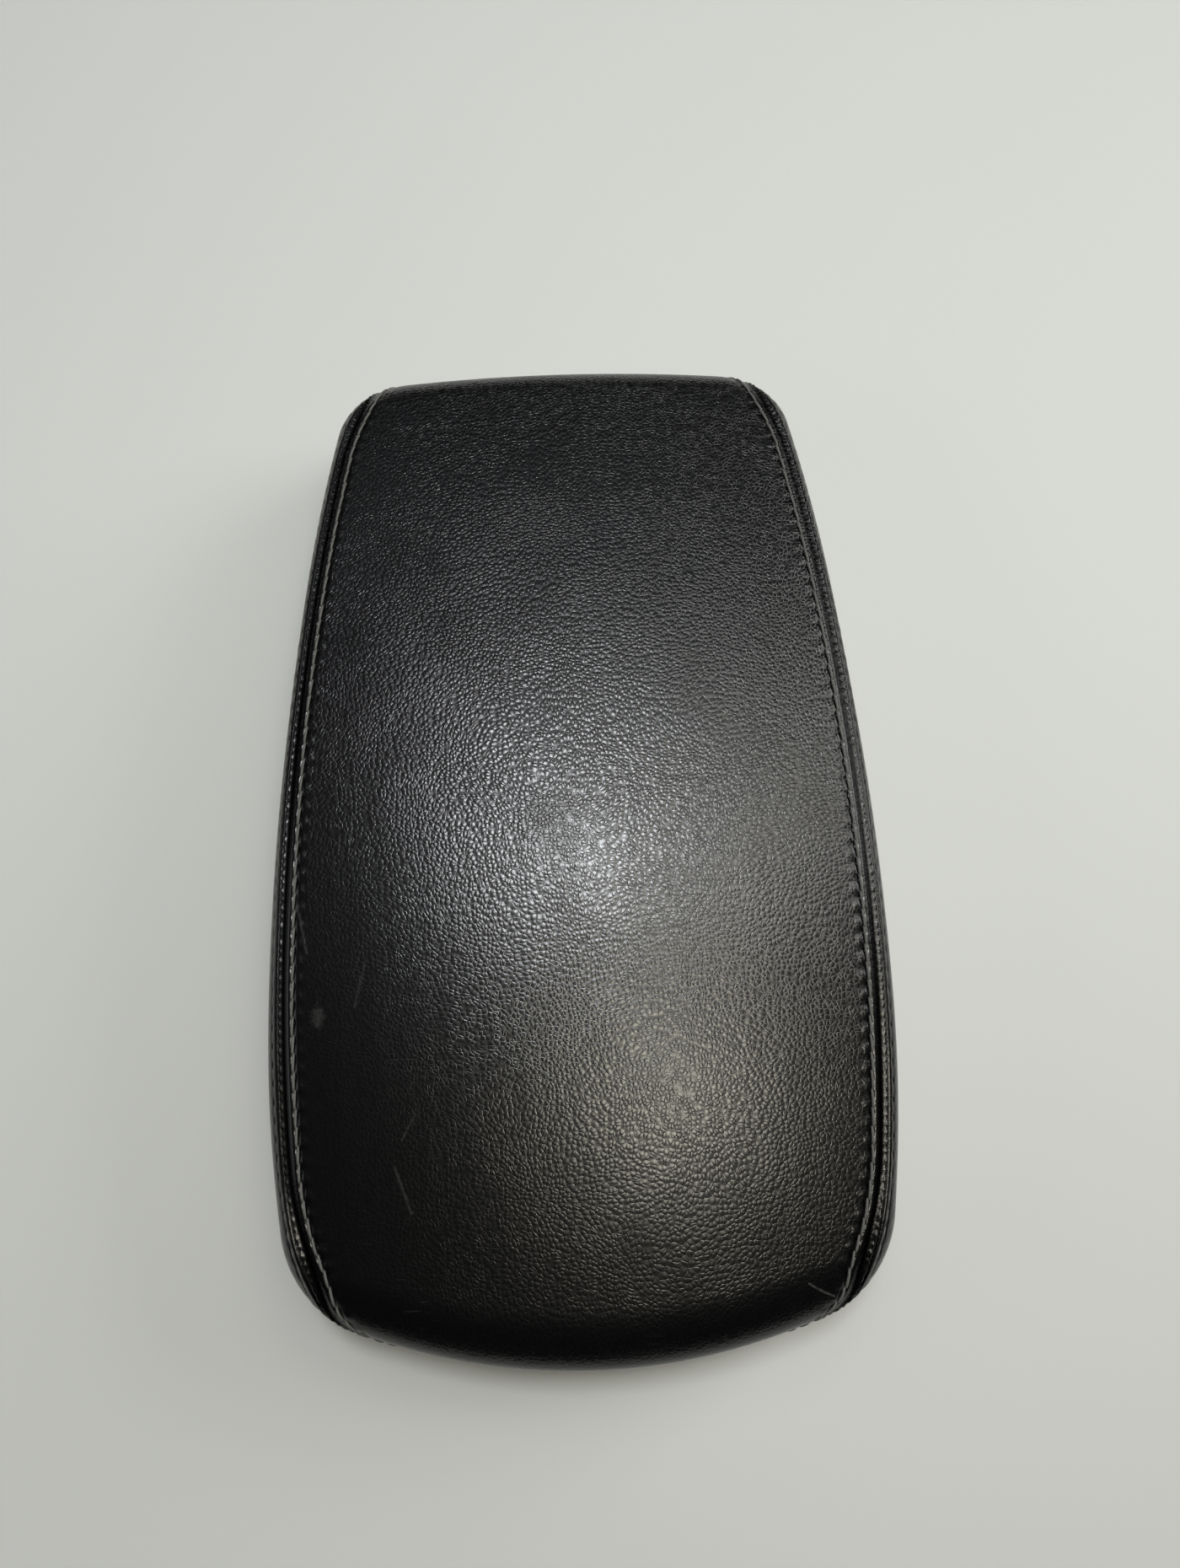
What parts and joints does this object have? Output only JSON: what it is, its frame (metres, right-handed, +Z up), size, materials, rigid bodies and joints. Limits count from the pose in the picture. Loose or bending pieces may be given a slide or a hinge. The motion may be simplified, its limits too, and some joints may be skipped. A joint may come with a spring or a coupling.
{
  "type": "car armrest",
  "caption": "Padded console armrest lid with a sewn leather cover, moulded shell and inner panel, rear hinge, finger latch and rubber buttons",
  "frame": {"origin": "Middle of the object's box in plan, at the level of the surface it lies on", "axes": "X across the lid, Y from the bowed front end to the hinge end, Z up through the padding"},
  "size_m": [0.1804, 0.3118, 0.056],
  "materials": {
    "leather": "satin",
    "foam": "matte",
    "black_plastic": "satin",
    "hinge_steel": "satin",
    "bright_steel": "gloss",
    "screw_steel": "satin",
    "brass": "satin",
    "white_plastic": "satin",
    "rubber": "matte"
  },
  "bodies": {
    "bracket": {"hinge_bracket": "hinge_steel", "hinge_pin": "bright_steel", "hinge_pin_clip": "bright_steel"},
    "lid": {"bump_stop_front_left": "rubber", "bump_stop_front_right": "rubber", "bump_stop_rear_left": "rubber", "bump_stop_rear_right": "rubber", "centre_cover": "leather", "cover_screw_1": "screw_steel", "cover_screw_2": "screw_steel", "cover_screw_3": "screw_steel", "cover_screw_4": "screw_steel", "cover_screw_5": "screw_steel", "cover_screw_6": "screw_steel", "cover_screw_7": "screw_steel", "cover_screw_8": "screw_steel", "foam_pad": "foam", "hinge_bush_left": "white_plastic", "hinge_bush_right": "white_plastic", "hinge_insert_1": "brass", "hinge_insert_2": "brass", "hinge_insert_3": "brass", "hinge_insert_4": "brass", "hinge_leaf": "hinge_steel", "hinge_leaf_screw_1": "screw_steel", "hinge_leaf_screw_2": "screw_steel", "hinge_leaf_screw_3": "screw_steel", "hinge_leaf_screw_4": "screw_steel", "latch_pin": "bright_steel", "latch_spring": "bright_steel", "lower_cover": "black_plastic", "side_cover_left": "leather", "side_cover_right": "leather", "upper_carrier": "black_plastic"},
    "lever": {"latch_lever": "black_plastic"}
  },
  "joints": [
    {"name": "lid_hinge", "type": "hinge", "parent": "bracket", "child": "lid", "pos_m": [0, 0.141, 0.014], "axis": [-1, 0, 0], "range_deg": [0, 90]},
    {"name": "latch_pivot", "type": "hinge", "parent": "lid", "child": "lever", "pos_m": [0, -0.126, 0.0065], "axis": [-1, 0, 0], "range_deg": [0, 12], "stiffness_Nm_per_rad": 0.05, "springref_deg": -17.19}
  ]
}
